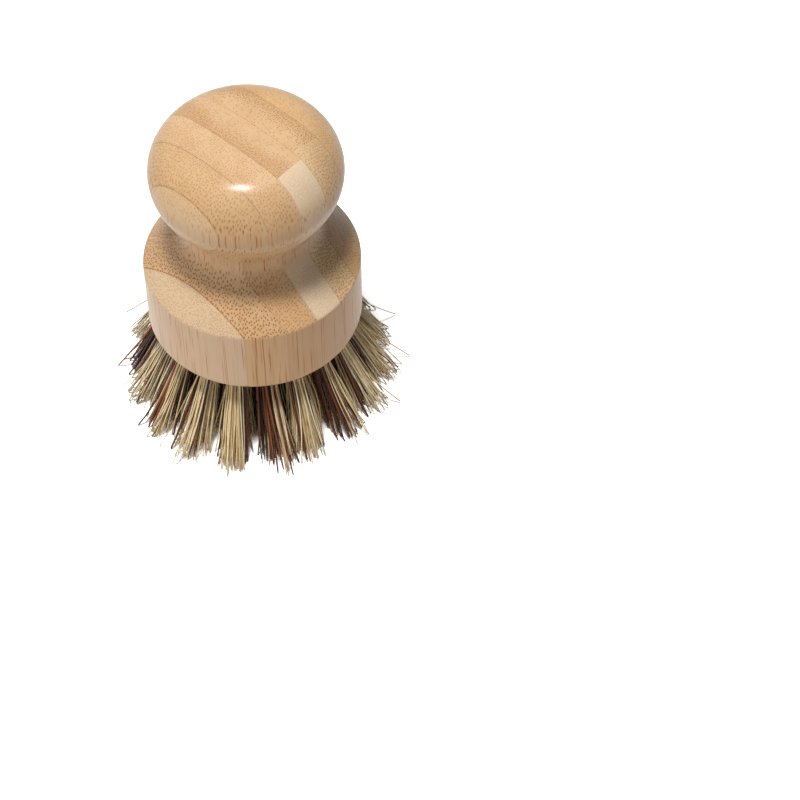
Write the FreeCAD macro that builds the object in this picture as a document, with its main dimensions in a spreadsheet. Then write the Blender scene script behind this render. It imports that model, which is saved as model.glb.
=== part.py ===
import FreeCAD, Part
import math
import os
import Sketcher
from enum import IntEnum

# Bamboo knob-handled dish brush, in millimetres.
# A blank of upright bamboo strips is turned to a block, a neck and a knob. The block's underside is
# drilled with rings of blind holes that lean outwards, and each hole holds a tuft of plant fibre that
# is folded over a short flat wire. The tufts are trimmed level, and the brush stands on them.
# The origin is on the standing surface, under the handle's axis. +Z is up, and the rows of strips
# run along X.

# Driving dimensions
SIZES = {
    # Handle, from the standing surface up
    "bristle_height": 24.6,  # standing surface to the block's underside
    "block_height": 20.4,  # underside to the block's rim
    "neck_lift": 14.5,  # rim to the narrowest circle of the neck
    "knob_rise": 16.7,  # narrowest circle to the knob's widest circle
    "crown_height": 13.0,  # widest circle to the top of the knob
    "block_diameter": 55.0,
    "neck_diameter": 33.2,
    "knob_diameter": 47.9,
    "cove_radius": 9.2,  # hollow of the neck
    "crown_radius": 150.0,  # nearly flat dome on top of the knob
    "base_round": 2.6,  # rounded lower edge of the block
    "rim_chamfer": 0.6,  # eased upper edge of the block
    # Bamboo strips
    "strip_thickness": 8.15,
    "glue_line": 3.2,  # the glue line nearest to the axis, measured along Y
    "least_strip": 1.0,  # a thinner offcut stays with the strip beside it
    "joint_front_2": 15.9,  # edge joints inside a row, measured along X
    "joint_front_1": 15.6,
    "joint_back_1": 13.0,
    "blank_spare": 2.0,  # how far the square blank stands out past the turned handle
    # Drilled holes
    "edge_margin": 6.7,  # block's side to the centres of the outer ring
    "hole_web": 2.43,  # wood between neighbouring holes at the underside
    "hole_depth": 10.0,
    "drill_run_out": 2.0,  # how far a drilled cut starts outside the underside
    "tilt_step": 7.67,  # degrees that each ring leans out beyond the one inside it
    # Tufts and their anchors
    "tuft_clearance": 0.1,  # tuft to the wall of its hole, and wire to its slot
    "tuft_gap": 0.3,  # between neighbouring tufts at their tips
    "trim_spare": 0.6,  # fibre cut off when the tufts are trimmed level
    "wire_thickness": 0.4,
    "wire_height": 1.8,
    "wire_bite": 0.4,  # how far each end of the wire bites into the wood
    "wire_seat": 1.3,  # hole's end to the wire, filled by the fold of the tuft
}

# Rings of tufts, from the middle outwards, and the tufts in each
RINGS = {"centre": 1, "inner": 6, "middle": 12, "outer": 18}
RING_STEPS = len(RINGS) - 1

# A tuft has flat sides, which keeps the facets of so many tufts few
TUFT_SIDES = 8

# Rows of strips that hold an edge joint
EDGE_JOINTS = {
    "front_2": "sizes.joint_front_2",
    "front_1": "sizes.joint_front_1",
    "back_1": "sizes.joint_back_1",
}

# Heights and radii that several pieces share
RIM = "(sizes.bristle_height + sizes.block_height)"
NECK = f"({RIM} + sizes.neck_lift)"
EQUATOR = f"({NECK} + sizes.knob_rise)"
TOP = f"({EQUATOR} + sizes.crown_height)"
BLOCK_R = "(sizes.block_diameter / 2)"
NECK_R = "(sizes.neck_diameter / 2)"
KNOB_R = "(sizes.knob_diameter / 2)"
RING_PITCH = f"(({BLOCK_R} - sizes.edge_margin) / {RING_STEPS})"
HOLE_R = f"(({RING_PITCH} - sizes.hole_web) / 2)"
ROOT_R = f"({HOLE_R} - sizes.tuft_clearance)"
TIP_PITCH = f"({RING_PITCH} + sizes.bristle_height * tan(sizes.tilt_step))"
TIP_R = f"(({TIP_PITCH} - sizes.tuft_gap) / 2)"

UP = FreeCAD.Vector(0, 0, 1)
SIDEWAYS = FreeCAD.Vector(0, 1, 0)
SAME_PLACE = 1e-4  # millimetres


class At(IntEnum):
    """The points of a sketch's line or arc, as its constraints number them."""

    START = 1
    END = 2
    CENTRE = 3


class Datum(IntEnum):
    """A sketch's own origin and axes, as its constraints number them."""

    ORIGIN = -1
    H_AXIS = -1
    V_AXIS = -2


doc = FreeCAD.newDocument("dish_brush")
sheet = doc.addObject("Spreadsheet::Sheet", "sizes")
for row, (alias, number) in enumerate(SIZES.items(), start=1):
    sheet.set(f"A{row}", alias)
    sheet.set(f"B{row}", str(number))
    sheet.setAlias(f"B{row}", alias)
doc.recompute()


def value(expression):
    """The number that an expression on the sheet gives."""
    found = sheet.evalExpression(expression)
    return float(getattr(found, "Value", found))


def origin_feature(body, role):
    """One of the body's own origin planes or axes."""
    return next(item for item in body.Origin.OriginFeatures if item.Role == role)


def new_sketch(body, name, plane):
    """A sketch on one of the body's own planes."""
    sketch = body.newObject("Sketcher::SketchObject", name)
    sketch.AttachmentSupport = (origin_feature(body, plane), [""])
    sketch.MapMode = "FlatFace"
    return sketch


def line(x1, y1, x2, y2):
    return Part.LineSegment(FreeCAD.Vector(x1, y1, 0), FreeCAD.Vector(x2, y2, 0))


def arc(x, y, radius, first, last):
    """An arc round (x, y), counterclockwise between two angles in radians."""
    circle = Part.Circle(FreeCAD.Vector(x, y, 0), UP, radius)
    return Part.ArcOfCircle(circle, first, last)


def dimension(sketch, name, expression, kind, *places):
    """A named dimension of a sketch, bound to the sheet."""
    number = value(expression)
    index = sketch.addConstraint(Sketcher.Constraint(kind, *places, number))
    sketch.renameConstraint(index, name)
    sketch.setExpression(f"Constraints.{name}", expression)


def bind(item, **expressions):
    """Bind an object's sizes to the sheet."""
    for name, expression in expressions.items():
        item.setExpression(name, expression)


def ease_edge(body, kind, name, radius, height, **expressions):
    """Round or chamfer the circular edge of the given radius and height."""
    base = body.Tip
    for number, edge in enumerate(base.Shape.Edges, start=1):
        curve = edge.Curve
        if not isinstance(curve, Part.Circle):
            continue
        off = max(abs(curve.Radius - radius), abs(curve.Center.z - height))
        if off < SAME_PLACE:
            eased = body.newObject(kind, name)
            eased.Base = (base, [f"Edge{number}"])
            bind(eased, **expressions)
            doc.recompute()
            return
    raise RuntimeError(f"{name}: no edge of radius {radius} at height {height}")


def tilt_of(ring):
    return f"({ring} * sizes.tilt_step)"


def seat_in_hole(item, ring, radial="0", sideways="0", along="0"):
    """Place an item in the first hole of a ring, its own Z running from the hole's end to its mouth.

    The offsets are in the item's own directions: across the hole, round the ring and along the hole.
    """
    tilt = tilt_of(ring)
    item.Placement = FreeCAD.Placement(FreeCAD.Vector(), FreeCAD.Rotation(SIDEWAYS, 90))
    item.setExpression("Placement.Rotation.Angle", f"180 - {tilt}")
    item.setExpression(
        "Placement.Base.x",
        f"{ring} * {RING_PITCH} + ({along} - sizes.hole_depth) * sin({tilt}) - ({radial}) * cos({tilt})",
    )
    item.setExpression("Placement.Base.y", sideways)
    item.setExpression(
        "Placement.Base.z",
        f"sizes.bristle_height - ({along} - sizes.hole_depth) * cos({tilt}) - ({radial}) * sin({tilt})",
    )


def wire_box(item, ring, room):
    """Size and place a box like the flat wire in a hole, with some room on every side."""
    length = f"(2 * ({HOLE_R} + sizes.wire_bite + {room}))"
    thickness = f"(sizes.wire_thickness + 2 * {room})"
    bind(item, Length=thickness, Width=length, Height=f"sizes.wire_height + 2 * {room}")
    seat_in_hole(item, ring, f"-{thickness} / 2", f"-{length} / 2", f"sizes.wire_seat - {room}")


def handle_profile(body):
    """Half of the turned outline: block, straight shoulder, hollow neck and domed knob."""
    base_z, rim_z, neck_z = value("sizes.bristle_height"), value(RIM), value(NECK)
    equator_z, top_z = value(EQUATOR), value(TOP)
    block_r, neck_r, knob_r = value(BLOCK_R), value(NECK_R), value(KNOB_R)
    cove_r, crown_r = value("sizes.cove_radius"), value("sizes.crown_radius")

    # The shoulder leaves the rim in a straight line that touches the neck's hollow
    cove_x = neck_r + cove_r
    reach = math.hypot(cove_x - block_r, neck_z - rim_z)
    slope = math.atan2(neck_z - rim_z, cove_x - block_r) + math.asin(cove_r / reach)
    shoulder = slope + math.pi / 2
    foot_x = cove_x + cove_r * math.cos(shoulder)
    foot_z = neck_z + cove_r * math.sin(shoulder)

    # The knob's underside is upright at the widest circle and touches the hollow
    inset, rise = knob_r - cove_x, equator_z - neck_z
    under_r = (inset**2 + rise**2 - cove_r**2) / (2 * (inset + cove_r))
    under_x = knob_r - under_r
    ogee = math.atan2(equator_z - neck_z, under_x - cove_x)

    # The knob's side is upright at the widest circle and touches the dome
    crown_h = top_z - equator_z
    side_r = (knob_r**2 + crown_h**2 - 2 * crown_h * crown_r) / (2 * (knob_r - crown_r))
    side_x = knob_r - side_r
    crown_z = top_z - crown_r
    brow = math.atan2(equator_z - crown_z, side_x)

    sketch = new_sketch(body, "handle_profile", "XZ_Plane")
    base, side, shoulder_line, cove, under, knob_side, crown, axis = sketch.addGeometry(
        [
            line(0, base_z, block_r, base_z),
            line(block_r, base_z, block_r, rim_z),
            line(block_r, rim_z, foot_x, foot_z),
            arc(cove_x, neck_z, cove_r, ogee, shoulder),
            arc(under_x, equator_z, under_r, ogee - math.pi, 0),
            arc(side_x, equator_z, side_r, 0, brow),
            arc(0, crown_z, crown_r, brow, math.pi / 2),
            line(0, top_z, 0, base_z),
        ]
    )
    for first, second in ((base, side), (side, shoulder_line), (crown, axis), (axis, base)):
        sketch.addConstraint(Sketcher.Constraint("Coincident", first, At.END, second, At.START))
    touching = (
        (shoulder_line, At.END, cove, At.END),
        (cove, At.START, under, At.START),
        (under, At.END, knob_side, At.START),
        (knob_side, At.END, crown, At.START),
    )
    for places in touching:
        sketch.addConstraint(Sketcher.Constraint("Tangent", *places))
    sketch.addConstraint(Sketcher.Constraint("Horizontal", base))
    sketch.addConstraint(Sketcher.Constraint("Vertical", side))
    sketch.addConstraint(Sketcher.Constraint("Vertical", axis))
    sketch.addConstraint(Sketcher.Constraint("PointOnObject", base, At.START, Datum.V_AXIS))
    sketch.addConstraint(Sketcher.Constraint("PointOnObject", crown, At.CENTRE, Datum.V_AXIS))
    sketch.addConstraint(Sketcher.Constraint("Horizontal", under, At.CENTRE, under, At.END))
    from_origin = (Datum.ORIGIN, At.START)
    dimension(sketch, "underside", "sizes.bristle_height", "DistanceY", *from_origin, base, At.START)
    dimension(sketch, "block_radius", BLOCK_R, "DistanceX", *from_origin, side, At.START)
    dimension(sketch, "rim", RIM, "DistanceY", *from_origin, side, At.END)
    dimension(sketch, "hollow", "sizes.cove_radius", "Radius", cove)
    dimension(sketch, "neck", NECK, "DistanceY", *from_origin, cove, At.CENTRE)
    hollow_centre = f"{NECK_R} + sizes.cove_radius"
    dimension(sketch, "hollow_centre", hollow_centre, "DistanceX", *from_origin, cove, At.CENTRE)
    dimension(sketch, "knob_radius", KNOB_R, "DistanceX", *from_origin, under, At.END)
    dimension(sketch, "equator", EQUATOR, "DistanceY", *from_origin, under, At.END)
    dimension(sketch, "dome", "sizes.crown_radius", "Radius", crown)
    dimension(sketch, "top", TOP, "DistanceY", *from_origin, crown, At.END)
    doc.recompute()
    return sketch


def pattern_round(body, feature, count):
    """Repeat the last cut of a body round its axis."""
    doc.recompute()
    if count == 1:
        return
    pattern = body.newObject("PartDesign::PolarPattern", f"{feature.Name}s")
    pattern.Originals = [feature]
    pattern.Axis = (origin_feature(body, "Z_Axis"), [""])
    pattern.Angle = 360
    pattern.Occurrences = count
    body.Tip = pattern
    doc.recompute()


def drill_ring(body, ring, name, count):
    """Leaning blind holes round a ring, with the slots that the wires' ends cut in their walls."""
    hole = body.newObject("PartDesign::SubtractiveCylinder", f"{name}_hole")
    past_mouth = f"{HOLE_R} * tan({tilt_of(ring)}) + sizes.drill_run_out"
    bind(hole, Radius=HOLE_R, Height=f"sizes.hole_depth + {past_mouth}")
    seat_in_hole(hole, ring)
    pattern_round(body, hole, count)
    slot = body.newObject("PartDesign::SubtractiveBox", f"{name}_wire_slot")
    wire_box(slot, ring, "sizes.tuft_clearance")
    pattern_round(body, slot, count)


def turned_handle():
    """The whole blank, turned and drilled, before it is told apart into its strips."""
    body = doc.addObject("PartDesign::Body", "turned_handle")
    profile = handle_profile(body)
    turning = body.newObject("PartDesign::Revolution", "turning")
    turning.Profile = profile
    turning.ReferenceAxis = (profile, ["V_Axis"])
    turning.Angle = 360
    doc.recompute()
    block_r, base_z, rim_z = value(BLOCK_R), value("sizes.bristle_height"), value(RIM)
    ease_edge(body, "PartDesign::Fillet", "base_edge", block_r, base_z, Radius="sizes.base_round")
    ease_edge(body, "PartDesign::Chamfer", "rim_edge", block_r, rim_z, Size="sizes.rim_chamfer")
    solid_volume = body.Shape.Volume
    for ring, (name, count) in enumerate(RINGS.items()):
        drill_ring(body, ring, name, count)
    holes = sum(RINGS.values()) * math.pi * value(HOLE_R) ** 2 * value("sizes.hole_depth")
    if solid_volume - body.Shape.Volume < holes:
        raise RuntimeError("the holes took away too little wood")
    return body


def strip(handle, name, x_span, y_span, z_span):
    """The part of the turned handle that lies in one strip of the blank."""
    blank = doc.addObject("Part::Box", f"{name}_blank")
    for size, place, (low, high) in zip(("Length", "Width", "Height"), "xyz", (x_span, y_span, z_span)):
        blank.setExpression(size, f"({high}) - ({low})")
        blank.setExpression(f"Placement.Base.{place}", low)
    piece = doc.addObject("Part::Common", name)
    piece.Base = handle
    piece.Tool = blank
    return piece


def nearest(low, high):
    """How near a span comes to the axis."""
    return max(value(low), -value(high), 0.0)


def strip_pieces(handle, name, x_span, y_span):
    """A strip, or its block end and knob end where the turned neck cuts it right through."""
    bottom = "(sizes.bristle_height - sizes.blank_spare)"
    top = f"({TOP} + sizes.blank_spare)"
    near = math.hypot(nearest(*x_span), nearest(*y_span))
    if near < value(NECK_R):
        return [strip(handle, name, x_span, y_span, (bottom, top))]
    pieces = [strip(handle, f"{name}_block", x_span, y_span, (bottom, NECK))]
    if near < value(KNOB_R):
        pieces.append(strip(handle, f"{name}_knob", x_span, y_span, (NECK, top)))
    return pieces


def bamboo_strips(handle):
    """Rows of strips between glue lines one strip's thickness apart."""
    thickness, first_line = value("sizes.strip_thickness"), value("sizes.glue_line")
    reach = value(BLOCK_R) - value("sizes.least_strip")
    lowest = math.ceil((-reach - first_line) / thickness)
    highest = math.floor((reach - first_line) / thickness)
    edge = f"({BLOCK_R} + sizes.blank_spare)"
    pieces = []
    for number in range(lowest - 1, highest + 1):
        low = f"(sizes.glue_line + ({number}) * sizes.strip_thickness)"
        high = f"(sizes.glue_line + ({number + 1}) * sizes.strip_thickness)"
        if number < lowest:
            low = f"({low} - sizes.least_strip)"
        if number == highest:
            high = f"({high} + sizes.least_strip)"
        row = f"front_{-number}" if number < 0 else f"back_{number + 1}"
        spans = {f"bamboo_{row}": (f"-{edge}", edge)}
        if row in EDGE_JOINTS:
            joint = EDGE_JOINTS[row]
            spans = {f"bamboo_{row}_left": (f"-{edge}", joint), f"bamboo_{row}_right": (joint, edge)}
        for name, x_span in spans.items():
            pieces += strip_pieces(handle, name, x_span, (low, high))
    return pieces


def is_upright(face):
    """Whether a flat face stands along its body's own Z."""
    return abs(face.normalAt(0, 0).z) < SAME_PLACE


def tuft_outline(body, name):
    """The regular outline of a tuft's root, drawn in the circle that its hole leaves it."""
    root = value(ROOT_R)
    turns = [2 * math.pi * side / TUFT_SIDES for side in range(TUFT_SIDES + 1)]
    corners = [(root * math.cos(turn), root * math.sin(turn)) for turn in turns]
    sketch = new_sketch(body, f"{name}_outline", "XY_Plane")
    sides = sketch.addGeometry([line(*a, *b) for a, b in zip(corners, corners[1:])])
    circle = sketch.addGeometry(Part.Circle(FreeCAD.Vector(), UP, root), True)
    for side, following in zip(sides, sides[1:] + sides[:1]):
        sketch.addConstraint(Sketcher.Constraint("Coincident", side, At.END, following, At.START))
        sketch.addConstraint(Sketcher.Constraint("PointOnObject", side, At.START, circle))
    for side in sides[1:]:
        sketch.addConstraint(Sketcher.Constraint("Equal", sides[0], side))
    sketch.addConstraint(Sketcher.Constraint("Coincident", circle, At.CENTRE, Datum.ORIGIN, At.START))
    sketch.addConstraint(Sketcher.Constraint("PointOnObject", sides[0], At.START, Datum.H_AXIS))
    dimension(sketch, "root_radius", ROOT_R, "Radius", circle)
    doc.recompute()
    return sketch


def ring_tuft(ring, name, floor):
    """The first tuft of a ring: straight in its hole, flared to the tips and trimmed level.

    The tuft's own origin is on the hole's axis, where the flare starts just outside the mouth.
    """
    tilt, room = tilt_of(ring), "sizes.tuft_clearance"
    tip = f"({TIP_R} * cos({tilt}))"
    flare = f"(sizes.hole_depth + {ROOT_R} * tan({tilt}) + {room})"
    trimmed_at = f"(sizes.hole_depth + sizes.bristle_height / cos({tilt}) + {tip} * tan({tilt}))"
    flare_length = f"({trimmed_at} + sizes.trim_spare - {flare})"
    body = doc.addObject("PartDesign::Body", f"{name}_bundle")
    outline = tuft_outline(body, name)
    flared = body.newObject("PartDesign::Pad", f"{name}_flare")
    flared.Profile = outline
    bind(flared, Length=flare_length)
    doc.recompute()
    sides = [f"Face{n}" for n, face in enumerate(flared.Shape.Faces, start=1) if is_upright(face)]
    spread = body.newObject("PartDesign::Draft", f"{name}_spread")
    spread.Base = (flared, sides)
    spread.NeutralPlane = (origin_feature(body, "XY_Plane"), [""])
    spread.Reversed = True
    widening = f"({tip} - {ROOT_R}) * cos(180 / {TUFT_SIDES})"
    bind(spread, Angle=f"atan({widening} / {flare_length})")
    root = body.newObject("PartDesign::Pad", f"{name}_root")
    root.Profile = outline
    root.Reversed = True
    bind(root, Length=f"{flare} - {room}")
    doc.recompute()

    # The fold goes round the wire
    slot = body.newObject("PartDesign::SubtractiveBox", f"{name}_fold_slot")
    thickness, across = f"(sizes.wire_thickness + 2 * {room})", f"(4 * {HOLE_R})"
    bind(slot, Length=thickness, Width=across, Height=f"sizes.wire_height + 2 * {room}")
    slot.setExpression("Placement.Base.x", f"-{thickness} / 2")
    slot.setExpression("Placement.Base.y", f"-{across} / 2")
    slot.setExpression("Placement.Base.z", f"sizes.wire_seat - {room} - {flare}")
    seat_in_hole(body, ring, along=flare)
    trimmed = doc.addObject("Part::Cut", f"{name}_trimmed")
    trimmed.Base = body
    trimmed.Tool = floor
    return trimmed


def ring_wire(ring, name):
    """The flat wire in the first hole of a ring."""
    wire = doc.addObject("Part::Box", f"{name}_wire")
    wire_box(wire, ring, "0")
    return wire


def around_axis(original, name, step, count):
    """A copy of a ring's first piece, turned round the axis to its own place."""
    copy = doc.addObject("App::Link", name)
    copy.LinkedObject = original
    copy.LinkTransform = True
    turn = FreeCAD.Rotation(UP, 360.0 * step / count)
    copy.Placement = FreeCAD.Placement(FreeCAD.Vector(), turn)
    return copy


def trimming_floor():
    """Everything below the level that the tufts are trimmed to."""
    floor = doc.addObject("Part::Box", "trimming_floor")
    side = "(4 * sizes.block_diameter)"
    bind(floor, Length=side, Width=side, Height="sizes.block_diameter")
    for place in "xy":
        floor.setExpression(f"Placement.Base.{place}", f"-{side} / 2")
    floor.setExpression("Placement.Base.z", "-sizes.block_diameter")
    return floor


def tufts_and_wires():
    """Every tuft as a piece of its own, and all the wires as one group."""
    floor = trimming_floor()
    tufts, wires = [], []
    for ring, (name, count) in enumerate(RINGS.items()):
        first_tuft, first_wire = ring_tuft(ring, name, floor), ring_wire(ring, name)
        for step in range(count):
            label = f"tuft_{name}" if count == 1 else f"tuft_{name}_{step + 1}"
            tufts.append(around_axis(first_tuft, label, step, count))
            wires.append(around_axis(first_wire, f"wire_{name}_{step + 1}", step, count))
    group = doc.addObject("Part::Compound", "tuft_anchors")
    group.Links = wires
    return tufts, group


def write_pieces(pieces):
    """Check the document and every piece, then write one file for each piece."""
    doc.recompute()
    for item in doc.Objects:
        if "Invalid" in item.State or "Error" in item.State:
            raise RuntimeError(f"{item.Label} failed: {item.State}")
    shapes = {piece.Label: Part.getShape(piece) for piece in pieces}
    for label, shape in shapes.items():
        if shape.isNull() or not shape.isValid() or not shape.Solids:
            raise RuntimeError(f"{label} has no valid solid")
        if label != "tuft_anchors" and len(shape.Solids) != 1:
            raise RuntimeError(f"{label} is {len(shape.Solids)} solids")
    os.makedirs("parts", exist_ok=True)
    for label, shape in shapes.items():
        shape.exportStep(f"parts/{label}.step")
    print(len(shapes), "pieces written")


bamboo = bamboo_strips(turned_handle())
fibre, anchors = tufts_and_wires()
write_pieces([*bamboo, *fibre, anchors])
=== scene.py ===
import math
import random
from bisect import bisect_left

import bmesh
import bpy
from mathutils import Matrix, Vector, noise


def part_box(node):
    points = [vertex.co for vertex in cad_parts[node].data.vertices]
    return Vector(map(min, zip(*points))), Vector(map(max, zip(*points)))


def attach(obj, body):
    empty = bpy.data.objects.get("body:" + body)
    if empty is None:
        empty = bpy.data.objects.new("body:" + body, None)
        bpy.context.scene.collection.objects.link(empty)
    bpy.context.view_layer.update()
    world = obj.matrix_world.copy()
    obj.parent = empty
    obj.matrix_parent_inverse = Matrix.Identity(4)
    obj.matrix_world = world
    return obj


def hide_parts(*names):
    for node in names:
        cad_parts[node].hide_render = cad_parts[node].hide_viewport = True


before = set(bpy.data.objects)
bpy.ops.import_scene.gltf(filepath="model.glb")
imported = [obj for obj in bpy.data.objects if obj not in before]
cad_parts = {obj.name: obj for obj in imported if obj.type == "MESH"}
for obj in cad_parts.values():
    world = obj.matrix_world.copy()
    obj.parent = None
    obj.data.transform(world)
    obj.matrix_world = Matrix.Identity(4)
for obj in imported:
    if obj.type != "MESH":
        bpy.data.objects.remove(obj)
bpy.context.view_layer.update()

bl_info = {
    "name": "Bamboo dish brush",
    "version": (1, 0, 0),
    "blender": (4, 5, 0),
    "location": "3D View > Sidebar > Dish brush",
    "description": "Turned bamboo strips, plant fibre tufts and a white studio for a round dish brush",
    "category": "Object",
}

MM = 0.001
BODY = "root"

# The frame's strips give the glue planes, and its outermost points the turned form
STRIPS = sorted(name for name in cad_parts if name.startswith("bamboo"))
STRIP_BOXES = {name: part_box(name) for name in STRIPS}
FOOT = min(low.z for low, high in STRIP_BOXES.values())
TOP = max(high.z for low, high in STRIP_BOXES.values())
BLOCK_RADIUS = -STRIP_BOXES["bamboo_front_4_block"][0].y
KNOB_RADIUS = -STRIP_BOXES["bamboo_front_4_knob"][0].y

# Rings of tufts, from the middle outwards
RINGS = ("centre", "inner", "middle", "outer")

# How each strip of the blank looks. skin is the face that was nearest to the cane's outside, where the
# ground is browner and the fibre bundles crowd together: -1 for the face at low Y, 1 for the one at high
# Y. pitch is the way from bundle to bundle in mm, crowd and thin are the shares of bundles at the skin and
# away from it, shade is how brown the skin side gets, and stain how cloudy and streaked the ground is. side
# is the tone of the upright sides, and pore the colour of bundles that are cut across. The block's end and
# the knob's end of a strip each have their own tone, depth of the bundles' colour and depth of the glue
# line at low Y.
LOOK_NAMES = ("skin", "pitch", "crowd", "thin", "shade", "stain", "side", "pore", "block", "knob")
BROWN, CREAM = "#7C4E28", "#F3E2C6"
STRIP_LOOKS = {
    "front_4": (
        -1, 0.50, 0.9, 0.9, 0.05, 0.5, "#D9B794", BROWN, ("#D5B895", 0.55, 0.00), ("#D2B085", 0.40, 0.00)
    ),
    "front_3": (
        -1, 0.70, 1.3, 0.9, 0.25, 0.9, "#DCB185", BROWN, ("#D6AF83", 1.00, 0.60), ("#D3AE82", 0.50, 0.45)
    ),
    "front_2_left": (
        -1, 0.66, 1.3, 0.8, 0.30, 0.9, "#DAAF83", BROWN, ("#D5AC80", 0.85, 0.50), ("#E0BB92", 0.45, 0.55)
    ),
    "front_2_right": (
        -1, 0.62, 1.0, 0.7, 0.20, 0.9, "#D6AA7C", BROWN, ("#DBB285", 0.70, 0.40), ("#DCB58A", 0.50, 0.30)
    ),
    "front_1_left": (
        -1, 0.62, 1.4, 0.4, 0.50, 0.9, "#DDB68F", BROWN, ("#DAB384", 0.70, 0.40), ("#DFB98E", 0.60, 0.40)
    ),
    "front_1_right": (
        -1, 0.62, 1.0, 1.0, 0.10, 0.4, "#D3A678", CREAM, ("#E6CCAA", 0.75, 0.20), ("#E5CCAC", 0.50, 0.30)
    ),
    "back_1_left": (
        1, 0.64, 1.4, 0.4, 0.45, 0.9, "#DDB68F", BROWN, ("#D9B081", 0.80, 0.25), ("#DFB88C", 0.75, 0.30)
    ),
    "back_1_right": (
        1, 0.62, 1.2, 0.6, 0.30, 0.8, "#D5A97A", BROWN, ("#EECDA0", 0.80, 0.45), ("#E4C196", 0.55, 0.25)
    ),
    "back_2": (
        -1, 0.66, 0.8, 0.5, 0.20, 0.9, "#D6AC7E", BROWN, ("#E0B681", 0.60, 0.55), ("#E6BC8A", 0.45, 0.50)
    ),
    "back_3": (
        1, 0.66, 1.1, 0.5, 0.45, 0.9, "#D8AF82", BROWN, ("#DDB582", 0.70, 0.30), ("#DDB886", 0.50, 0.30)
    ),
}

# Shares of dark fibres in the tufts of the outer ring by number, in its other tufts, and further in
DARK_SHARES = {
    1: 0.58, 2: 0.45, 3: 0.2, 4: 0.1, 12: 0.66, 13: 0.32, 14: 0.5, 15: 0.25, 16: 0.3, 17: 0.72, 18: 0.2
}
OTHER_DARK_SHARE = 0.4
INNER_DARK_SHARES = (0.2, 0.6)

# The share of all fibres that stray, with how many times further than the rest they go, and the same for
# the few among them that stray far
STRAY_CHANCE, STRAY_TIMES = 0.06, 3.5
FAR_STRAY_CHANCE, FAR_STRAY_TIMES = 0.012, 7.0

# Places and sizes of the lamps in metres, in the camera's directions: right, away and up
KEY_PLACE, KEY_SIZE = (-0.050, -0.11, 0.89), (0.15, 0.12)
LONG_LAMP_PLACE, LONG_LAMP_SIZE = (-0.04, -0.17, 0.88), (0.40, 0.03)
LAMP_AIM = (0, 0, 0.05)

# Where the bright wall is, and to which side the paper throws light back, in the same directions
WALL_SIDE = (-0.88, -0.47, 0.08)
PAPER_FRONT = (0.3, -0.95, 0.0)

# The sheet ends where the key still lights it to white, and the white room goes on from there
PAPER_RADIUS, PAPER_CORNERS = 0.42, 96


def linear(colour):
    """An sRGB hex colour as linear red, green, blue and alpha."""
    shares = [int(colour[at : at + 2], 16) / 255 for at in (1, 3, 5)]
    return (*[s / 12.92 if s <= 0.04045 else ((s + 0.055) / 1.055) ** 2.4 for s in shares], 1.0)


def colour_choice(name, description, colour):
    """A colour that can be changed, with an sRGB hex colour as its default."""
    return bpy.props.FloatVectorProperty(
        name=name, description=description, default=linear(colour), size=4, subtype="COLOR", min=0, max=1
    )


class HandleSizes(bpy.types.PropertyGroup):
    """The turned outline, from the block's underside up."""

    rim_height: bpy.props.FloatProperty(
        name="Rim height", description="Upper edge of the block", default=45.0 * MM, unit="LENGTH"
    )
    neck_height: bpy.props.FloatProperty(
        name="Neck height", description="Narrowest circle", default=59.5 * MM, unit="LENGTH"
    )
    equator_height: bpy.props.FloatProperty(
        name="Knob height", description="Widest circle of the knob", default=76.2 * MM, unit="LENGTH"
    )
    neck_radius: bpy.props.FloatProperty(
        name="Neck radius", description="Radius of the narrowest circle", default=16.6 * MM, unit="LENGTH"
    )
    cove_radius: bpy.props.FloatProperty(
        name="Neck hollow", description="Radius of the neck's hollow", default=9.2 * MM, unit="LENGTH"
    )
    crown_radius: bpy.props.FloatProperty(
        name="Crown", description="Radius of the dome on the knob", default=150.0 * MM, unit="LENGTH"
    )
    base_round: bpy.props.FloatProperty(
        name="Base round", description="Rounding of the lower edge", default=2.6 * MM, unit="LENGTH"
    )
    rim_round: bpy.props.FloatProperty(
        name="Rim round", description="Sanded upper edge of the block", default=1.2 * MM, unit="LENGTH"
    )
    turns: bpy.props.IntProperty(name="Turns", description="Faces round the axis", default=256, min=32)


class TuftSizes(bpy.types.PropertyGroup):
    """The rings of tufts and the fibres in a tuft."""

    ring_pitch: bpy.props.FloatProperty(
        name="Ring pitch", description="From ring to ring at the underside", default=6.933 * MM, unit="LENGTH"
    )
    lean_step: bpy.props.FloatProperty(
        name="Lean", description="Further lean of each ring", default=math.radians(7.67), subtype="ANGLE"
    )
    root_radius: bpy.props.FloatProperty(
        name="Root radius", description="Radius of a tuft in its hole", default=2.15 * MM, unit="LENGTH"
    )
    tip_radius: bpy.props.FloatProperty(
        name="Tip radius", description="Radius of a tuft at its tips", default=5.5 * MM, unit="LENGTH"
    )
    fibres: bpy.props.IntProperty(
        name="Fibres", description="Places for fibres in a tuft", default=116, min=1
    )
    pale_width: bpy.props.FloatProperty(
        name="Pale width", description="Thickness of a pale fibre", default=0.36 * MM, unit="LENGTH"
    )
    dark_width: bpy.props.FloatProperty(
        name="Dark width", description="Thickness of a dark fibre", default=0.70 * MM, unit="LENGTH"
    )
    ragged: bpy.props.FloatProperty(
        name="Ragged", description="How uneven the tips are", default=1.3 * MM, unit="LENGTH"
    )
    seed: bpy.props.IntProperty(name="Seed", description="Start of the fibres' chance", default=7)


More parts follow.
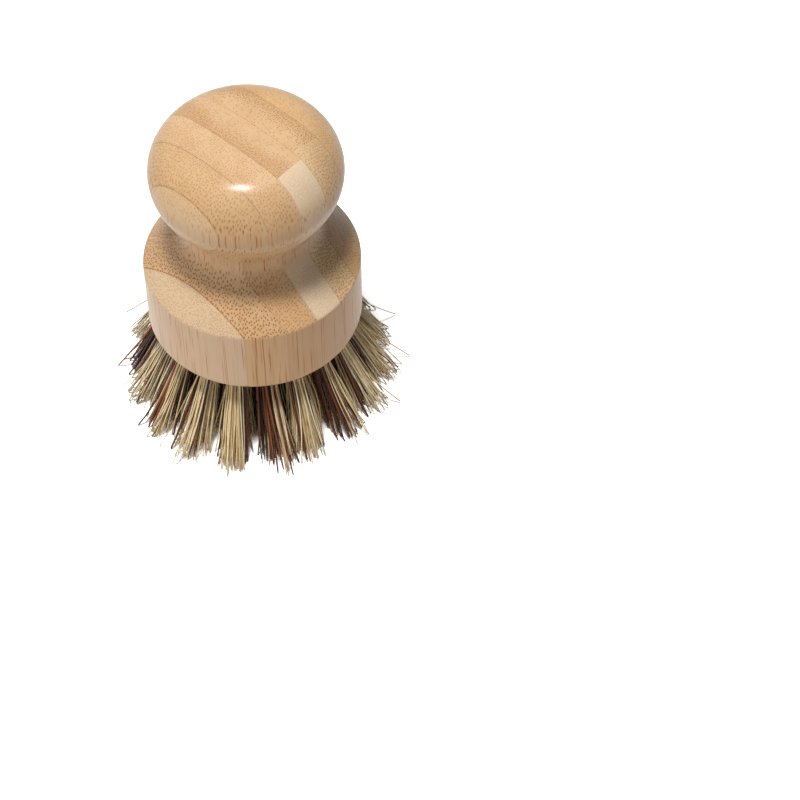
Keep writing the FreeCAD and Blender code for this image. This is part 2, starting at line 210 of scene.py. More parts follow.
class FinishColours(bpy.types.PropertyGroup):
    """Colours that all strips share, and those of the wire and the fibres."""

    skin_side: colour_choice("Skin side", "Wood near the cane's skin", "#BC8A53")
    clouds: colour_choice("Clouds", "Wide stains in the wood", "#C0915B")
    streaks: colour_choice("Streaks", "Narrow stains along the wood", "#B78343")
    side_bundles: colour_choice("Side bundles", "Fibre bundles that are cut along", "#B0702F")
    glue: colour_choice("Glue", "Glue lines between the strips", "#7A4D27")
    wire: colour_choice("Wire", "Steel of the anchors", "#B9BBBD")
    pale_darkest: colour_choice("Pale, darkest", "Darkest of the pale fibres", "#A07A4E")
    pale_darker: colour_choice("Pale, darker", "Darker pale fibres", "#DEBD88")
    pale_lighter: colour_choice("Pale, lighter", "Lighter pale fibres", "#F1D9A6")
    pale_lightest: colour_choice("Pale, lightest", "Lightest of the pale fibres", "#FBEDCB")
    dark_darkest: colour_choice("Dark, darkest", "Darkest of the dark fibres", "#1C0F0A")
    dark_darker: colour_choice("Dark, darker", "Darker dark fibres", "#3C2114")
    dark_lighter: colour_choice("Dark, lighter", "Lighter dark fibres", "#6C3A20")
    dark_lightest: colour_choice("Dark, lightest", "Lightest of the dark fibres", "#A06038")


class StudioSettings(bpy.types.PropertyGroup):
    """Camera, lamps and room."""

    camera_place: bpy.props.FloatVectorProperty(
        name="Camera",
        description="Where the camera stands",
        default=(303.73 * MM, -287.06 * MM, 514.42 * MM),
        subtype="TRANSLATION",
        unit="LENGTH",
    )
    camera_turn: bpy.props.FloatVectorProperty(
        name="Camera turn",
        description="Turn of the camera",
        default=(math.radians(38.23), 0.0, math.radians(41.5)),
        subtype="EULER",
    )
    camera_lens: bpy.props.FloatProperty(
        name="Lens", description="Focal length on a 36 mm sensor", default=111.87, unit="CAMERA"
    )
    key_power: bpy.props.FloatProperty(
        name="Key", description="Power of the small lamp overhead", default=5.9, unit="POWER"
    )
    strip_power: bpy.props.FloatProperty(
        name="Strip", description="Power of the long lamp beside the key", default=0.7, unit="POWER"
    )
    room: bpy.props.FloatProperty(
        name="Room", description="Strength of the light from all round", default=0.015, min=0
    )
    wall: bpy.props.FloatProperty(
        name="Wall", description="Strength of the light from a bright wall on the left", default=0.88, min=0
    )


class DishBrush(bpy.types.PropertyGroup):
    """Everything that the brush is made from."""

    handle: bpy.props.PointerProperty(type=HandleSizes)
    tufts: bpy.props.PointerProperty(type=TuftSizes)
    colours: bpy.props.PointerProperty(type=FinishColours)
    studio: bpy.props.PointerProperty(type=StudioSettings)


# Materials

# A Mix node has sockets of one name for each kind of value, so those for colours go by number
MIX_SHARE, MIX_FIRST, MIX_SECOND, MIX_RESULT = 0, 6, 7, 2


def add_node(tree, kind, inputs=None, **settings):
    """Add a node with its settings. An input is a value, or an output socket to link to it."""
    node = tree.nodes.new(kind)
    for name, setting in settings.items():
        setattr(node, name, setting)
    for socket, source in (inputs or {}).items():
        if isinstance(source, bpy.types.NodeSocket):
            tree.links.new(source, node.inputs[socket])
        else:
            node.inputs[socket].default_value = source
    return node


def new_material(name):
    """A material with its node tree and the shader in it."""
    material = bpy.data.materials.new(name)
    material.use_nodes = True
    return material, material.node_tree, material.node_tree.nodes["Principled BSDF"]


def fibre_bundles(tree, place, look, skin_share):
    """The cane's fibre bundles: upright lines that wander a little, fewer of them away from the skin."""
    wander, wander_run = 0.5 * MM, 14.0 * MM
    unevenness = 0.72
    core, edge = 0.10, 0.38  # of a bundle, as shares of the pitch
    crowded_from = 0.25  # share of the way to the skin
    faint_until = 0.3  # a bundle that only just has room is faint
    drift = add_node(tree, "ShaderNodeTexNoise", {"Vector": place, "Scale": 1 / wander_run, "Detail": 1.0})
    moved = add_node(
        tree,
        "ShaderNodeVectorMath",
        {0: drift.outputs["Color"], 1: (wander, wander, wander), 2: place},
        operation="MULTIPLY_ADD",
    )
    cells = add_node(
        tree,
        "ShaderNodeTexVoronoi",
        {"Vector": moved.outputs[0], "Scale": 1 / (look["pitch"] * MM), "Randomness": unevenness},
        voronoi_dimensions="2D",
    )
    crowding = add_node(
        tree,
        "ShaderNodeMapRange",
        {"Value": skin_share, "From Min": crowded_from, "To Min": look["thin"], "To Max": look["crowd"]},
        interpolation_type="SMOOTHSTEP",
    )
    chance = add_node(tree, "ShaderNodeSeparateColor", {"Color": cells.outputs["Color"]})
    spare = add_node(
        tree, "ShaderNodeMath", {0: crowding.outputs[0], 1: chance.outputs["Red"]}, operation="SUBTRACT"
    )
    present = add_node(tree, "ShaderNodeMapRange", {"Value": spare.outputs[0], "From Max": faint_until})
    distance = cells.outputs["Distance"]
    dot = add_node(
        tree,
        "ShaderNodeMapRange",
        {"Value": distance, "From Min": core, "From Max": edge, "To Min": 1.0, "To Max": 0.0},
        interpolation_type="SMOOTHSTEP",
    )
    return add_node(
        tree, "ShaderNodeMath", {0: dot.outputs[0], 1: present.outputs[0]}, operation="MULTIPLY"
    ).outputs[0]


def grain_noise(tree, place, width, run, detail):
    """Noise drawn out along the fibres, with its width and run in millimetres."""
    drawn = add_node(
        tree,
        "ShaderNodeMapping",
        {"Vector": place, "Scale": (1 / (width * MM), 1 / (width * MM), 1 / (run * MM))},
    )
    return add_node(
        tree, "ShaderNodeTexNoise", {"Vector": drawn.outputs[0], "Scale": 1.0, "Detail": detail}
    ).outputs[0]


def bamboo_ground(tree, place, look, colours, skin_share, end_grain, knob_share):
    """The wood between the bundles: pinker on the sides, browner towards the skin, cloudy and streaked."""
    block_tone, knob_tone = linear(look["block"][0]), linear(look["knob"][0])
    knob_side_share = 0.6  # how far the knob's sides take on its own tone
    tone = add_node(
        tree,
        "ShaderNodeMix",
        {MIX_SHARE: knob_share, MIX_FIRST: block_tone, MIX_SECOND: knob_tone},
        data_type="RGBA",
    ).outputs[MIX_RESULT]
    side_share = add_node(
        tree, "ShaderNodeMath", {0: knob_share, 1: knob_side_share}, operation="MULTIPLY"
    ).outputs[0]
    side = add_node(
        tree,
        "ShaderNodeMix",
        {MIX_SHARE: side_share, MIX_FIRST: linear(look["side"]), MIX_SECOND: tone},
        data_type="RGBA",
    ).outputs[MIX_RESULT]
    ground = add_node(
        tree, "ShaderNodeMix", {MIX_SHARE: end_grain, MIX_FIRST: side, MIX_SECOND: tone}, data_type="RGBA"
    ).outputs[MIX_RESULT]

    # What each layer follows, where it starts and is full, how deep it gets, how it rises and its colour
    clouds = grain_noise(tree, place, width=6.0, run=40.0, detail=2.0)
    streaks = grain_noise(tree, place, width=0.30, run=22.0, detail=3.0)
    layers = (
        (skin_share, 0.45, 1.0, 0.75 * look["shade"], "SMOOTHSTEP", colours.skin_side),
        (clouds, 0.42, 0.8, 0.35 * look["stain"], "LINEAR", colours.clouds),
        (streaks, 0.48, 0.72, 0.5 * look["stain"], "SMOOTHSTEP", colours.streaks),
    )
    for followed, start, full, depth, rise, colour in layers:
        share = add_node(
            tree,
            "ShaderNodeMapRange",
            {"Value": followed, "From Min": start, "From Max": full, "To Max": depth},
            interpolation_type=rise,
        )
        ground = add_node(
            tree,
            "ShaderNodeMix",
            {MIX_SHARE: share.outputs[0], MIX_FIRST: ground, MIX_SECOND: colour},
            data_type="RGBA",
        ).outputs[MIX_RESULT]
    return ground


def varnished_bamboo(name, look, colours, low, high):
    """Laminated bamboo, turned, sanded and varnished to a satin shine.

    The cane's fibre bundles run up the handle: where the turning cuts across them they show as brown
    dots, crowded on the skin side of each strip, and where it cuts along them as short upright streaks.
    """
    block_depth, block_glue = look["block"][1:]
    knob_depth, knob_glue = look["knob"][1:]
    end_strength, side_strength = 0.9, 1.6  # of the bundles' colour
    break_start, break_end = 0.36, 0.66  # of the noise that breaks the streaks
    side_glue = 0.3  # share of the glue line that is left on the sides
    glue_width = 0.35 * MM
    cane_radius = 55.0 * MM
    neck_span = (58.0 * MM, 70.0 * MM)
    side_steep, end_steep = 0.12, 0.60  # upright part of the normal, on sides and on end grain
    material, tree, shader = new_material(name)
    place = add_node(tree, "ShaderNodeTexCoord").outputs["Object"]
    along, across, height = add_node(tree, "ShaderNodeSeparateXYZ", {"Vector": place}).outputs

    # The skin side follows the round cane, so it is thicker at the strip's ends
    skin, pith = (high, low) if look["skin"] > 0 else (low, high)
    bend = add_node(
        tree, "ShaderNodeMath", {0: along, 1: -look["skin"] / (2 * cane_radius)}, operation="MULTIPLY"
    )
    bent = add_node(
        tree, "ShaderNodeMath", {0: bend.outputs[0], 1: along, 2: skin}, operation="MULTIPLY_ADD"
    )
    inside = add_node(tree, "ShaderNodeMath", {0: across, 1: bent.outputs[0]}, operation="SUBTRACT")
    skin_share = add_node(
        tree,
        "ShaderNodeMapRange",
        {"Value": inside.outputs[0], "From Min": pith - skin, "From Max": 0.0},
    ).outputs[0]
    bundles = fibre_bundles(tree, place, look, skin_share)

    # Where the surface cuts across the fibres, and which end of the strip it is
    facing = add_node(tree, "ShaderNodeNewGeometry").outputs["Normal"]
    upward = add_node(tree, "ShaderNodeSeparateXYZ", {"Vector": facing}).outputs["Z"]
    steep = add_node(tree, "ShaderNodeMath", {0: upward}, operation="ABSOLUTE").outputs[0]
    end_grain = add_node(
        tree,
        "ShaderNodeMapRange",
        {"Value": steep, "From Min": side_steep, "From Max": end_steep},
        interpolation_type="SMOOTHSTEP",
    ).outputs[0]
    knob_share = add_node(
        tree, "ShaderNodeMapRange", {"Value": height, "From Min": neck_span[0], "From Max": neck_span[1]}
    ).outputs[0]
    ground = bamboo_ground(tree, place, look, colours, skin_share, end_grain, knob_share)

    # Bundles are dark pores on end grain and broken orange streaks on the sides
    breaks = grain_noise(tree, place, width=0.7, run=16.0, detail=1.0)
    unbroken = add_node(
        tree,
        "ShaderNodeMapRange",
        {"Value": breaks, "From Min": break_start, "From Max": break_end},
        interpolation_type="SMOOTHSTEP",
    )
    kept = add_node(tree, "ShaderNodeMath", {0: unbroken.outputs[0], 1: end_grain}, operation="MAXIMUM")
    end_depth = add_node(
        tree,
        "ShaderNodeMapRange",
        {"Value": knob_share, "To Min": end_strength * block_depth, "To Max": end_strength * knob_depth},
    )
    depth = add_node(
        tree,
        "ShaderNodeMapRange",
        {"Value": end_grain, "To Min": side_strength * block_depth, "To Max": end_depth.outputs[0]},
    )
    marked = add_node(
        tree, "ShaderNodeMath", {0: kept.outputs[0], 1: depth.outputs[0]}, operation="MULTIPLY"
    )
    shown = add_node(
        tree, "ShaderNodeMath", {0: bundles, 1: marked.outputs[0]}, operation="MULTIPLY"
    ).outputs[0]
    pore = add_node(
        tree,
        "ShaderNodeMix",
        {MIX_SHARE: end_grain, MIX_FIRST: colours.side_bundles, MIX_SECOND: linear(look["pore"])},
        data_type="RGBA",
    ).outputs[MIX_RESULT]
    grained = add_node(
        tree, "ShaderNodeMix", {MIX_SHARE: shown, MIX_FIRST: ground, MIX_SECOND: pore}, data_type="RGBA"
    ).outputs[MIX_RESULT]

    # The glue line on the strip's face at low Y
    off_glue = add_node(tree, "ShaderNodeMath", {0: across, 1: low}, operation="SUBTRACT").outputs[0]
    end_glue = add_node(
        tree, "ShaderNodeMapRange", {"Value": knob_share, "To Min": block_glue, "To Max": knob_glue}
    )
    glue_depth = add_node(
        tree,
        "ShaderNodeMapRange",
        {"Value": end_grain, "To Min": side_glue * block_glue, "To Max": end_glue.outputs[0]},
    )
    glue = add_node(
        tree,
        "ShaderNodeMapRange",
        {"Value": off_glue, "From Max": glue_width, "To Min": glue_depth.outputs[0], "To Max": 0.0},
        interpolation_type="SMOOTHSTEP",
    )
    coloured = add_node(
        tree,
        "ShaderNodeMix",
        {MIX_SHARE: glue.outputs[0], MIX_FIRST: grained, MIX_SECOND: colours.glue},
        data_type="RGBA",
    )
    tree.links.new(coloured.outputs[MIX_RESULT], shader.inputs["Base Color"])

    pits = add_node(
        tree, "ShaderNodeBump", {"Height": shown, "Strength": 0.25, "Distance": 0.03 * MM}, invert=True
    )
    tree.links.new(pits.outputs[0], shader.inputs["Normal"])
    # The varnish makes the shine, and the wood under it has almost none of its own
    shader.inputs["Roughness"].default_value = 0.55
    shader.inputs["IOR"].default_value = 1.5
    shader.inputs["Specular IOR Level"].default_value = 0.1
    shader.inputs["Coat Weight"].default_value = 0.36
    shader.inputs["Coat Roughness"].default_value = 0.22
    return material


def plant_fibre(name, shades, roughness):
    """A stiff plant fibre, dried and cut: dull, each one with its own tone and darker flecks along it."""
    fleck_start, fleck_full, fleck_depth = 0.45, 0.75, 0.22
    material, tree, shader = new_material(name)
    tone = add_node(tree, "ShaderNodeAttribute", attribute_name="tone").outputs["Fac"]
    shade = add_node(tree, "ShaderNodeValToRGB", {"Fac": tone})
    stops = shade.color_ramp.elements
    given_stops = len(stops)
    for number, colour in enumerate(shades):
        position = number / (len(shades) - 1)
        stop = stops[number] if number < given_stops else stops.new(position)
        stop.position, stop.color = position, colour
    place = add_node(tree, "ShaderNodeTexCoord").outputs["Object"]
    flecks = grain_noise(tree, place, width=0.5, run=2.5, detail=2.0)
    share = add_node(
        tree,
        "ShaderNodeMapRange",
        {"Value": flecks, "From Min": fleck_start, "From Max": fleck_full, "To Max": fleck_depth},
    )
    flecked = add_node(
        tree,
        "ShaderNodeMix",
        {MIX_SHARE: share.outputs[0], MIX_FIRST: shade.outputs["Color"], MIX_SECOND: shades[0]},
        data_type="RGBA",
    )
    tree.links.new(flecked.outputs[MIX_RESULT], shader.inputs["Base Color"])
    shader.inputs["Roughness"].default_value = roughness
    shader.inputs["IOR"].default_value = 1.5
    shader.inputs["Specular IOR Level"].default_value = 0.2
    return material


def drawn_wire(colour):
    """Galvanised steel, drawn and rolled flat: grey, with a fine mottle of duller and brighter spots."""
    spot_size = 0.2 * MM
    brightest, dullest = 0.35, 0.6
    material, tree, shader = new_material("galvanised_steel_drawn")
    place = add_node(tree, "ShaderNodeTexCoord").outputs["Object"]
    spots = add_node(tree, "ShaderNodeTexNoise", {"Vector": place, "Scale": 1 / spot_size, "Detail": 2.0})
    dull = add_node(
        tree, "ShaderNodeMapRange", {"Value": spots.outputs[0], "To Min": brightest, "To Max": dullest}
    )
    tree.links.new(dull.outputs[0], shader.inputs["Roughness"])
    shader.inputs["Base Color"].default_value = colour
    shader.inputs["Metallic"].default_value = 1.0
    return material


def seen_directly(tree):
    """One for what the camera sees, straight or in a mirror or through glass, and zero for other light."""
    path = add_node(tree, "ShaderNodeLightPath").outputs
    mirrored = add_node(
        tree, "ShaderNodeMath", {0: path["Is Camera Ray"], 1: path["Is Glossy Ray"]}, operation="MAXIMUM"
    )
    return add_node(
        tree, "ShaderNodeMath", {0: mirrored.outputs[0], 1: path["Is Transmission Ray"]}, operation="MAXIMUM"
    ).outputs[0]


def white_paper(front):
    """A round sheet of matt white paper, exposed to white where the lamps reach it.

    It throws light back in front of the brush, and little behind it, which keeps the handle's shadow
    deep there.
    """
    behind, ahead = -50 * MM, 40 * MM
    low_bounce, high_bounce = 0.1, 0.85
    seen_white = 1.65
    material, tree, shader = new_material("studio_paper_matt")
    position = add_node(tree, "ShaderNodeNewGeometry").outputs["Position"]
    side = add_node(
        tree, "ShaderNodeVectorMath", {0: position, 1: front}, operation="DOT_PRODUCT"
    ).outputs["Value"]
    bounce = add_node(
        tree,
        "ShaderNodeMapRange",
        {"Value": side, "From Min": behind, "From Max": ahead, "To Min": low_bounce, "To Max": high_bounce},
        interpolation_type="SMOOTHSTEP",
    )
    bright = add_node(
        tree,
        "ShaderNodeMapRange",
        {"Value": seen_directly(tree), "To Min": bounce.outputs[0], "To Max": seen_white},
    )
    tree.links.new(bright.outputs[0], shader.inputs["Base Color"])
    shader.inputs["Roughness"].default_value = 0.9
    shader.inputs["Specular IOR Level"].default_value = 0.0
    return material


# Turned strips


def arc_rows(centre, radius, first, last, steps, hollow=False):
    """Rows of an outline along an arc: radius, height and the outward direction."""
    side = -1 if hollow else 1
    rows = []
    for step in range(steps + 1):
        turn = first + (last - first) * step / steps
        out, up = math.cos(turn), math.sin(turn)
        rows.append((centre[0] + radius * out, centre[1] + radius * up, side * out, side * up))
    return rows


def turned_outline(sizes):
    """Half of the handle's outline, from the edge of the underside to the top, with smooth joins."""
    rim, neck, equator = sizes.rim_height, sizes.neck_height, sizes.equator_height
    cove, crown = sizes.cove_radius, sizes.crown_radius

    # The straight shoulder leaves the rim and touches the neck's hollow
    cove_out = sizes.neck_radius + cove
    reach = math.hypot(cove_out - BLOCK_RADIUS, neck - rim)
    slope = math.atan2(neck - rim, cove_out - BLOCK_RADIUS) + math.asin(cove / reach)
    shoulder = slope + math.pi / 2

    # The knob's underside touches the hollow, and its side touches the dome
    inset, rise = KNOB_RADIUS - cove_out, equator - neck
    under = (inset**2 + rise**2 - cove**2) / (2 * (inset + cove))
    ogee = math.atan2(rise, KNOB_RADIUS - under - cove_out)
    crown_rise = TOP - equator
    side = (KNOB_RADIUS**2 + crown_rise**2 - 2 * crown_rise * crown) / (2 * (KNOB_RADIUS - crown))
    brow = math.atan2(equator - (TOP - crown), KNOB_RADIUS - side)

    # The rim is rounded between the upright side and the shoulder
    shoulder_out = shoulder - math.pi
    rim_drop = sizes.rim_round * math.tan(shoulder_out / 2)
    rim_centre = (BLOCK_RADIUS - sizes.rim_round, rim - rim_drop)
    base = sizes.base_round
    quarter = math.pi / 2
    return [
        *arc_rows((BLOCK_RADIUS - base, FOOT + base), base, -quarter, 0, steps=8),
        *arc_rows(rim_centre, sizes.rim_round, 0, shoulder_out, steps=5),
        *arc_rows((cove_out, neck), cove, shoulder, ogee, steps=22, hollow=True),
        *arc_rows((KNOB_RADIUS - under, equator), under, ogee - math.pi, 0, steps=12)[1:],
        *arc_rows((KNOB_RADIUS - side, equator), side, 0, brow, steps=16)[1:],
        *arc_rows((0, TOP - crown), crown, brow, quarter, steps=12)[1:],
    ]


def turned_blank(outline, turns):
    """The whole handle as a closed mesh, before it is told apart into strips."""
    mesh = bmesh.new()
    mesh.faces.layers.int.new("cut")
    angles = [2 * math.pi * turn / turns for turn in range(turns)]
    rings = []
    for radius, height, _, _ in outline[:-1]:
        rings.append([mesh.verts.new((radius * math.cos(a), radius * math.sin(a), height)) for a in angles])
    for lower, upper in zip(rings, rings[1:]):
        for turn in range(turns):
            following = (turn + 1) % turns
            mesh.faces.new((lower[turn], lower[following], upper[following], upper[turn]))
    top = mesh.verts.new((0, 0, outline[-1][1]))
    for turn in range(turns):
        mesh.faces.new((rings[-1][turn], rings[-1][(turn + 1) % turns], top))
    middle = mesh.verts.new((0, 0, outline[0][1]))
    for turn in range(turns):
        mesh.faces.new((rings[0][(turn + 1) % turns], rings[0][turn], middle))
    return mesh


def saw(mesh, point, outward):
    """Cut a closed mesh with a plane, keep the inner side and close the cut."""
    everything = mesh.verts[:] + mesh.edges[:] + mesh.faces[:]
    made = bmesh.ops.bisect_plane(
        mesh, geom=everything, dist=1e-8, plane_co=point, plane_no=outward, clear_outer=True
    )
    edges = [item for item in made["geom_cut"] if isinstance(item, bmesh.types.BMEdge)]
    closed = bmesh.ops.holes_fill(mesh, edges=edges, sides=0)["faces"]
    cut = mesh.faces.layers.int["cut"]
    for face in closed:
        face[cut] = 1
    bmesh.ops.triangulate(mesh, faces=closed)


def glue_planes(name):
    """The planes that part a strip from its neighbours, as points and outward directions."""
    low, high = STRIP_BOXES[name]
    near = 0.01 * MM
    planes = []
    for axis in (0, 1):
        outward = Vector((axis == 0, axis == 1, 0))
        if any(abs(other[1][axis] - low[axis]) < near for other in STRIP_BOXES.values()):
            planes.append((low, -outward))
        if any(abs(other[0][axis] - high[axis]) < near for other in STRIP_BOXES.values()):
            planes.append((high, outward))
    return planes


def outward_at(outline, heights, point):
    """The turned surface's outward direction at a point on it."""
    at = min(max(bisect_left(heights, point.z), 1), len(outline) - 1)
    below, above = outline[at - 1], outline[at]
    share = (point.z - below[1]) / (above[1] - below[1]) if above[1] > below[1] else 0.0
    share = min(max(share, 0.0), 1.0)
    out = below[2] + (above[2] - below[2]) * share
    up = below[3] + (above[3] - below[3]) * share
    around = Vector((point.x, point.y, 0)).normalized()
    return (around * out + Vector((0, 0, up))).normalized()


def strip_mesh(name, blank, outline, neck_height):
    """One strip sawn out of the turned blank, with the smooth shading of the whole turning."""
    straight_down = -0.999
    mesh = blank.copy()
    for point, outward in glue_planes(name):
        saw(mesh, point, outward)
    if name.endswith("_block"):
        saw(mesh, Vector((0, 0, neck_height)), Vector((0, 0, 1)))
    if name.endswith("_knob"):
        saw(mesh, Vector((0, 0, neck_height)), Vector((0, 0, -1)))
    if not mesh.faces:
        raise RuntimeError(f"nothing is left of {name}")
    data = bpy.data.meshes.new(f"{name}_turned")
    mesh.to_mesh(data)
    mesh.free()
    heights = [row[1] for row in outline]
    cut = data.attributes["cut"].data
    normals = [None] * len(data.loops)
    for face in data.polygons:
        flat = cut[face.index].value == 1 or face.normal.z < straight_down
        for loop in face.loop_indices:
            point = data.vertices[data.loops[loop].vertex_index].co
            normals[loop] = face.normal.copy() if flat else outward_at(outline, heights, point)
        face.use_smooth = True
    data.normals_split_custom_set(normals)
    return data


def place_piece(name, data, node):
    """Put a mesh in the scene as the piece that stands for a node of the frame."""
    piece = bpy.data.objects.new(name, data)
    bpy.context.scene.collection.objects.link(piece)
    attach(piece, BODY)
    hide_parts(node)


# Fibre tufts


def tube(points, widths, sides, twist):
    """Corners and faces of a thin rod along points, closed at both ends."""
    corners, faces = [], []
    for at, (point, width) in enumerate(zip(points, widths)):
        ahead = points[min(at + 1, len(points) - 1)] - points[max(at - 1, 0)]
        turn = ahead.to_track_quat("Z", "X").to_matrix()
        for side in range(sides):
            angle = twist + 2 * math.pi * side / sides
            corners.append(point + turn @ Vector((math.cos(angle), math.sin(angle), 0)) * (width / 2))
    for at in range(len(points) - 1):
        for side in range(sides):
            following = (side + 1) % sides
            first, second = at * sides, (at + 1) * sides
            faces.append((first + side, first + following, second + following, second + side))
    faces.append(tuple(reversed(range(sides))))
    faces.append(tuple(range((len(points) - 1) * sides, len(points) * sides)))
    return corners, faces


def sideways(rng, size):
    """A step by chance across a tuft."""
    return Vector((rng.gauss(0, size), rng.gauss(0, size), 0))


def fibre_line(rng, sizes, spot, length, lean, sweep, dark):
    """The line of one fibre in its tuft's own directions: Z from the hole's mouth out to the tips."""
    stray, bent = (0.5 * MM, 0.3 * MM) if dark else (0.7 * MM, 0.45 * MM)
    fan_range = (0.85, 1.06)  # how much of the tuft's spread a fibre has
    left_long = 0.3 if dark else 0.1  # share of fibres that the trim leaves longer
    long_range = (0.3, 1.6)  # how much longer, as shares of the raggedness
    inward_bow, waviness = 0.12, 0.15
    sunk = 2.0 * MM  # how far the root is in the hole
    steps = 7
    spread = sizes.tip_radius / sizes.root_radius
    root = Vector((spot[0], spot[1], 0)) * sizes.root_radius
    chance = rng.random()
    if chance < STRAY_CHANCE:
        stray *= FAR_STRAY_TIMES if chance < FAR_STRAY_CHANCE else STRAY_TIMES
    tip = root * spread * rng.uniform(*fan_range) + sideways(rng, stray) + sweep
    # The tips are trimmed level, so the outer fibres of a leaning tuft are longer
    reach = length + tip.x * math.tan(lean) - abs(rng.gauss(0, sizes.ragged))
    if rng.random() < left_long:
        reach += rng.uniform(*long_range) * sizes.ragged
    bow = sideways(rng, bent) - inward_bow * (tip - root)
    waver = sideways(rng, waviness * bent)
    points = []
    for step in range(steps + 1):
        share = step / steps
        drift = root.lerp(tip, share)
        drift += bow * math.sin(math.pi * share) + waver * math.sin(3 * math.pi * share)
        points.append(drift + Vector((0, 0, -sunk + (reach + sunk) * share)))
    return points


def tuft_fibres(rng, sizes, length, lean, dark_share):
    """All fibres of a tuft: a fan of pale ones with clumps of dark ones among them."""
    golden = math.pi * (3 - math.sqrt(5))
    filled = 0.93  # share of the tuft's radius that the fibres' middles take up
    turn_blur = 0.05
    noise_reach = 50  # each tuft's clumps come from another place in the noise
    clump_scale, clump_blur = 1.5, 0.16
    sweep_outward, sweep_around = 0.5, 0.7  # of a whole tuft, in mm
    dark_left_out = 0.6  # dark fibres are thicker, so fewer of them fill the same room
    width_range = (0.65, 1.25)
    clump = Vector([rng.uniform(-noise_reach, noise_reach) for _ in range(3)])
    sweep = Vector((rng.gauss(0, sweep_outward), rng.gauss(0, sweep_around), 0)) * MM
    spots = []
    for number in range(sizes.fibres):
        radius = math.sqrt((number + 0.5) / sizes.fibres) * filled
        turn = number * golden + rng.gauss(0, turn_blur)
        spots.append((radius * math.cos(turn), radius * math.sin(turn)))
    scores = []
    for spot in spots:
        scores.append(noise.noise(clump + Vector((*spot, 0)) * clump_scale) + rng.gauss(0, clump_blur))
    bar = sorted(scores, reverse=True)[int(dark_share * (len(scores) - 1))]
    for spot, score in zip(spots, scores):
        dark = score > bar
        if dark and rng.random() < dark_left_out:
            continue
        width = rng.uniform(*width_range) * (sizes.dark_width if dark else sizes.pale_width)
        yield fibre_line(rng, sizes, spot, length, lean, sweep, dark), width, dark


def tuft_mesh(name, rng, sizes, seat, length, lean, dark_share):
    """A tuft as one mesh of rods. seat takes the tuft's own directions to the frame."""
    clearance = 0.6  # of a fibre's middle from the paper, in fibre widths
    tone_blur = 0.28
    corners, faces, tones, kinds = [], [], [], []
    for line, width, dark in tuft_fibres(rng, sizes, length, lean, dark_share):
        taper, rod_sides, usual_tone = (0.55, 6, 0.5) if dark else (0.8, 5, 0.66)
        floor = clearance * width
        points = [seat @ point for point in line]
        points = [Vector((p.x, p.y, max(p.z, floor))) for p in points]
        last = len(points) - 1
        widths = [width * (1 - (1 - taper) * (at / last) ** 2) for at in range(len(points))]
        rod, sides = tube(points, widths, rod_sides, rng.uniform(0, math.pi))
        tone = min(max(rng.gauss(usual_tone, tone_blur), 0.0), 1.0)
        first = len(corners)
        corners += rod
        tones += [tone] * len(rod)
        faces += [tuple(first + corner for corner in side) for side in sides]
        kinds += [1 if dark else 0] * len(sides)
    data = bpy.data.meshes.new(name)
    data.from_pydata(corners, [], faces)
    data.attributes.new("tone", "FLOAT", "POINT").data.foreach_set("value", tones)
    data.polygons.foreach_set("material_index", kinds)
    data.polygons.foreach_set("use_smooth", [True] * len(faces))
    data.update()
    return data


# Studio


def area_lamp(name, place, aim, size, power):
    """A soft lamp that shines from a place at a point."""
    lamp = bpy.data.lights.new(name, "AREA")
    lamp.shape, lamp.size, lamp.size_y = "RECTANGLE", *size
    lamp.energy = power
    item = bpy.data.objects.new(name, lamp)
    bpy.context.scene.collection.objects.link(item)
    item.location = place
    item.rotation_euler = (Vector(aim) - Vector(place)).to_track_quat("-Z", "Y").to_euler()


def paper_sheet(front):
    """The round sheet of paper under the brush."""
    around = [2 * math.pi * corner / PAPER_CORNERS for corner in range(PAPER_CORNERS)]
    rim = [(PAPER_RADIUS * math.cos(a), PAPER_RADIUS * math.sin(a), 0) for a in around]
    paper = bpy.data.meshes.new("paper")
    paper.from_pydata(rim, [], [tuple(range(PAPER_CORNERS))])
    paper.materials.append(white_paper(front))
    floor = bpy.data.objects.new("paper", paper)
    bpy.context.scene.collection.objects.link(floor)


def white_room(studio, towards_wall):
    """A room that is seen as white, and lights the brush softly, most of all from one wall."""
    wall_edge = 0.2  # cosine of the angle from the wall's middle at which its light ends
    world = bpy.data.worlds.new("white_room")
    world.use_nodes = True
    tree = world.node_tree
    sky = tree.nodes["Background"]
    sky.inputs["Color"].default_value = (1, 1, 1, 1)
    outlook = add_node(tree, "ShaderNodeTexCoord").outputs["Generated"]
    facing = add_node(
        tree, "ShaderNodeVectorMath", {0: outlook, 1: towards_wall}, operation="DOT_PRODUCT"
    ).outputs["Value"]
    light = add_node(
        tree,
        "ShaderNodeMapRange",
        {"Value": facing, "From Min": wall_edge, "To Min": studio.room, "To Max": studio.wall},
        interpolation_type="SMOOTHSTEP",
    )
    strength = add_node(
        tree,
        "ShaderNodeMapRange",
        {"Value": seen_directly(tree), "To Min": light.outputs[0], "To Max": 1.0},
    )
    tree.links.new(strength.outputs[0], sky.inputs["Strength"])
    return world


def studio_camera(studio):
    """The camera, as it was fitted to the photo."""
    camera = bpy.data.cameras.new("camera")
    camera.lens = studio.camera_lens
    camera.sensor_width = 36.0
    camera.clip_start = 0.01
    item = bpy.data.objects.new("camera", camera)
    bpy.context.scene.collection.objects.link(item)
    item.location = studio.camera_place
    item.rotation_euler = studio.camera_turn
    return item


# Operators


